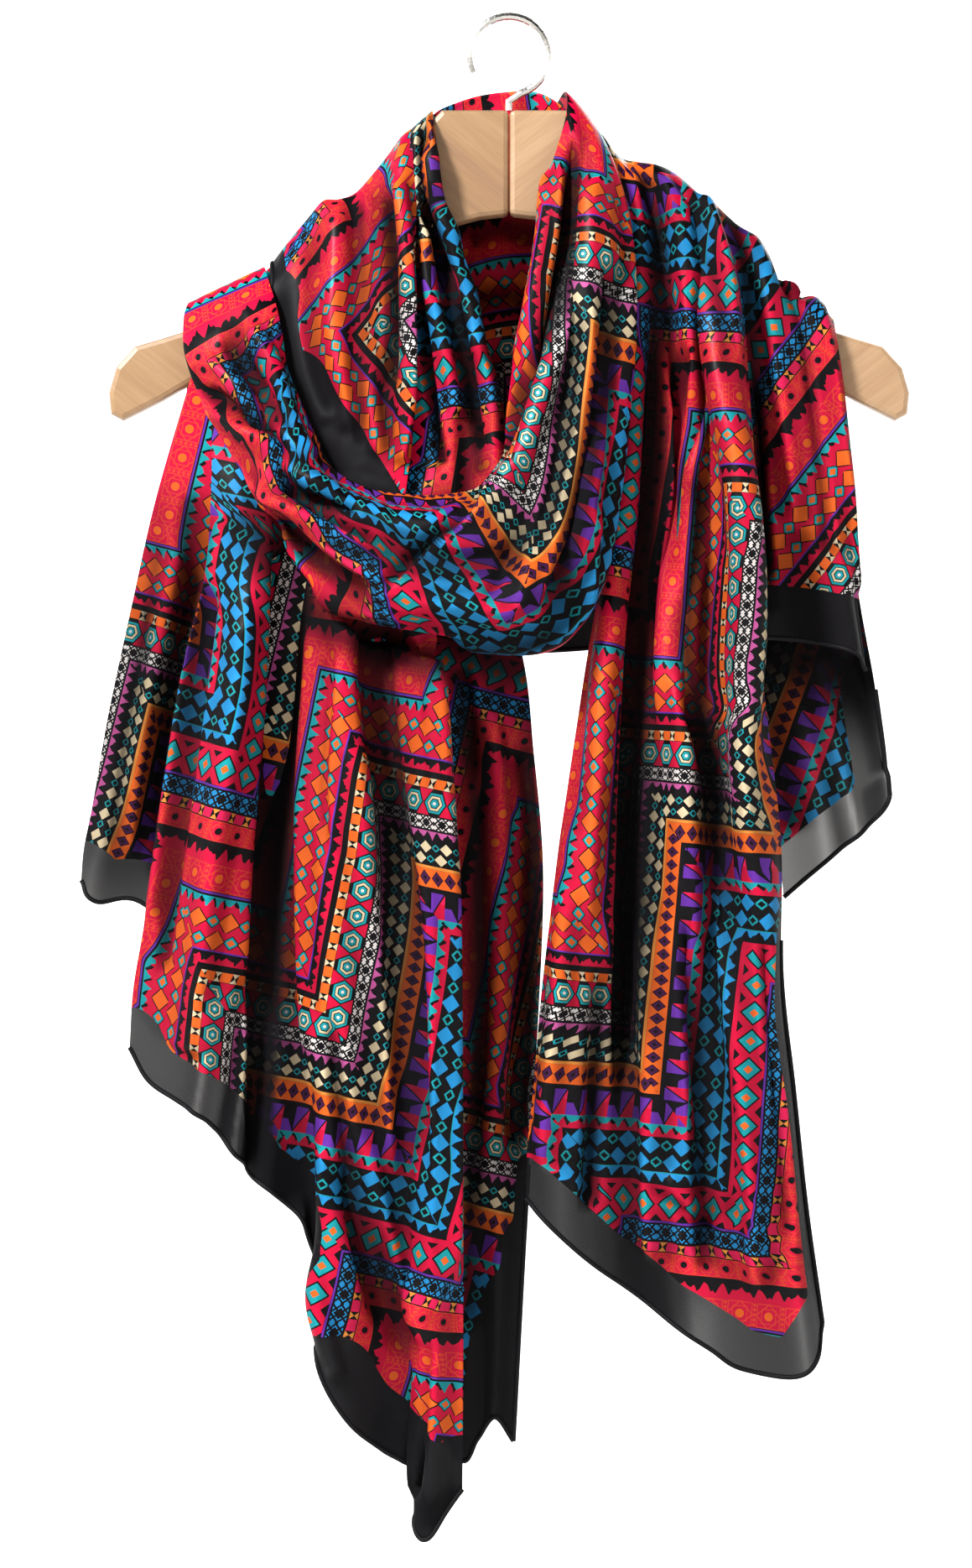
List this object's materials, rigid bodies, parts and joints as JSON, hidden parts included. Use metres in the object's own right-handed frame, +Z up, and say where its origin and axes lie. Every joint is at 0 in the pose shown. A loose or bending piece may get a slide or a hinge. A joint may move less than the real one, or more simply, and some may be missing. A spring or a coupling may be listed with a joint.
{
  "type": "long scarf on a coat hanger",
  "caption": "Long printed satin scarf wrapped once into a cowl, its two tails hanging in front, draped on a wooden coat hanger with a wire hook.",
  "frame": {"origin": "inside top of the hook, where a rail carries it", "axes": "+Z up, the scarf's front faces -Y, +X to the viewer's right of the front"},
  "size_m": [0.3945, 0.1334, 0.7197],
  "materials": {
    "printed_satin": "satin, geometric print in red, orange, teal and blue with a plain black border",
    "beech": "sanded and clear lacquered",
    "hook_wire": "bright plated"
  },
  "bodies": {
    "root": {"neck_back": "printed_satin", "neck_left": "printed_satin", "shoulder_left": "printed_satin", "cowl": "printed_satin", "tail_left": "printed_satin", "tail_left_back": "printed_satin", "tail_right": "printed_satin", "shoulder_right": "printed_satin", "wing_right": "printed_satin", "back_drape": "printed_satin", "hanger_arm_left": "beech", "hanger_arm_right": "beech", "hook": "hook_wire"}
  },
  "joints": []
}
